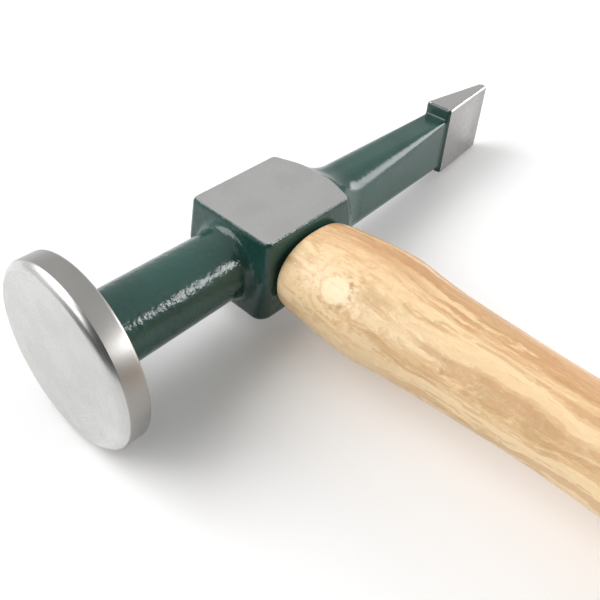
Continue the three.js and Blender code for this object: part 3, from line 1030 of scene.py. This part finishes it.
def wedge_steel_look():
    """Rolled mild steel with dark scale and hammer marks."""
    look = Look("wedge_steel")
    scale = look.noise(look.scaled(even(0.9)), 4)
    tone = look.mix(look.ramp(scale, 0.35, 0.65), *WEDGE_STEEL_TONES)
    look.link(tone, look.shader.inputs["Base Color"])
    look.set(Metallic=1.0)
    look.link(look.ramp(scale, 0.3, 0.7, 0.35, 0.55), look.shader.inputs["Roughness"])
    look.link(look.bump(scale, 0.06), look.shader.inputs["Normal"])
    return look.material


def floor_look():
    """Plain white studio floor."""
    look = Look("studio_floor")
    cloud = look.noise(look.scaled(even(0.01)), 2)
    look.link(look.mix(cloud, *FLOOR_TONES), look.shader.inputs["Base Color"])
    look.set(Roughness=0.6)
    return look.material


# ------------------------------------------------------------------ build

head = make_head(paint_look(), ground_look(), bore_look())
handle = make_handle(wood_look("pale_hardwood", **HANDLE_WOOD))
wood_wedge = make_wood_wedge(wood_look("wedge_hardwood", **WEDGE_WOOD))
steel_wedge = make_steel_wedge(wedge_steel_look())

for piece, node, slot in (
    (head, "head", "green_paint"),
    (handle, "handle", "handle_wood"),
    (wood_wedge, "wood_wedge", "wedge_wood"),
    (steel_wedge, "steel_wedge", "wedge_steel"),
):
    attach(piece, "root")
    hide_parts(node)

# ------------------------------------------------------------------ studio

FLOOR_SIZE = 6.0
# Soft boxes: name, direction in the head's axes, distance, width and height in metres, and
# brightness beside a white wall's.
SOFT_BOXES = (
    ("key", (0.47, -0.56, 0.68), 1.1, 0.95, 0.8, 4.2),
    ("window", (-0.50, 0.765, 0.405), 1.0, 0.25, 0.22, 12.0),
    ("back_window", (-0.83, 0.46, 0.31), 1.0, 0.54, 0.44, 6.6),
    ("side_panel", (0.84, -0.12, 0.53), 1.0, 0.50, 0.32, 2.8),
)
WALL_LIGHT = 0.79
DIM_WALL_LIGHT = 0.08
DIM_WALL_WAY = (0.707, 0.707, 0.0)

half = FLOOR_SIZE / 2
floor_z = cad_bounds[0][2]
floor_plan = ((-half, -half), (half, -half), (half, half), (-half, half))
floor_corners = [(x, y, floor_z) for x, y in floor_plan]
floor_mesh = bpy.data.meshes.new("floor")
floor_mesh.from_pydata(floor_corners, [], [(0, 1, 2, 3)])
floor = bpy.data.objects.new("floor", floor_mesh)
bpy.context.scene.collection.objects.link(floor)
floor.data.materials.append(floor_look())


def soft_light(name, towards, distance, width, height, glow):
    """Soft box that faces the eye of the hammer."""
    data = bpy.data.lights.new(name, "AREA")
    data.shape = "RECTANGLE"
    data.size = width
    data.size_y = height
    data.energy = glow * math.pi * width * height
    lamp = bpy.data.objects.new(name, data)
    bpy.context.scene.collection.objects.link(lamp)
    outward_way = (head_axes @ Vector(towards)).normalized()
    lamp.location = eye_centre + outward_way * distance
    lamp.rotation_euler = outward_way.to_track_quat("Z", "Y").to_euler()


def studio_world():
    """White room with one dim wall."""
    world = bpy.data.worlds.new("studio")
    world.use_nodes = True
    tree = world.node_tree
    way = tree.nodes.new("ShaderNodeTexCoord").outputs["Generated"]
    facing = tree.nodes.new("ShaderNodeVectorMath")
    facing.operation = "DOT_PRODUCT"
    tree.links.new(way, facing.inputs[0])
    facing.inputs[1].default_value = DIM_WALL_WAY
    fade = tree.nodes.new("ShaderNodeMapRange")
    fade.interpolation_type = "SMOOTHSTEP"
    tree.links.new(facing.outputs["Value"], fade.inputs["Value"])
    fade.inputs["From Min"].default_value = 0.1
    fade.inputs["From Max"].default_value = 0.6
    fade.inputs["To Min"].default_value = WALL_LIGHT
    fade.inputs["To Max"].default_value = DIM_WALL_LIGHT
    sky = tree.nodes["Background"]
    sky.inputs["Color"].default_value = (1.0, 1.0, 1.0, 1.0)
    tree.links.new(fade.outputs["Result"], sky.inputs["Strength"])
    bpy.context.scene.world = world


for soft_box in SOFT_BOXES:
    soft_light(*soft_box)
studio_world()
bpy.context.scene.view_settings.view_transform = "Standard"

# ------------------------------------------------------------------ camera

# The view in the head's axes: towards the camera, and to the right in the picture.
VIEW_BACK = (0.588681, 0.542086, 0.599664)
VIEW_RIGHT = (-0.697780, 0.715283, 0.038397)
VIEW_DISTANCE = 0.17246
VIEW_ASIDE = (0.00193, 0.00317)
LENS = 45.6
SENSOR = 36
SHIFT = (0.0387, -0.1307)


def photo_camera():
    """Camera close to the head, so that the perspective is steep."""
    back = (head_axes @ Vector(VIEW_BACK)).normalized()
    right = head_axes @ Vector(VIEW_RIGHT)
    right = (right - back * right.dot(back)).normalized()
    upward = back.cross(right)
    place = eye_centre + back * VIEW_DISTANCE + right * VIEW_ASIDE[0] + upward * VIEW_ASIDE[1]
    data = bpy.data.cameras.new("photo_view")
    data.sensor_width = SENSOR
    data.lens = LENS
    data.shift_x, data.shift_y = SHIFT
    data.clip_start = 0.005
    camera = bpy.data.objects.new("photo_view", data)
    bpy.context.scene.collection.objects.link(camera)
    rotation = Matrix((right, upward, back)).transposed()
    camera.matrix_world = Matrix.Translation(place) @ rotation.to_4x4()
    return camera


bpy.context.scene.camera = photo_camera()
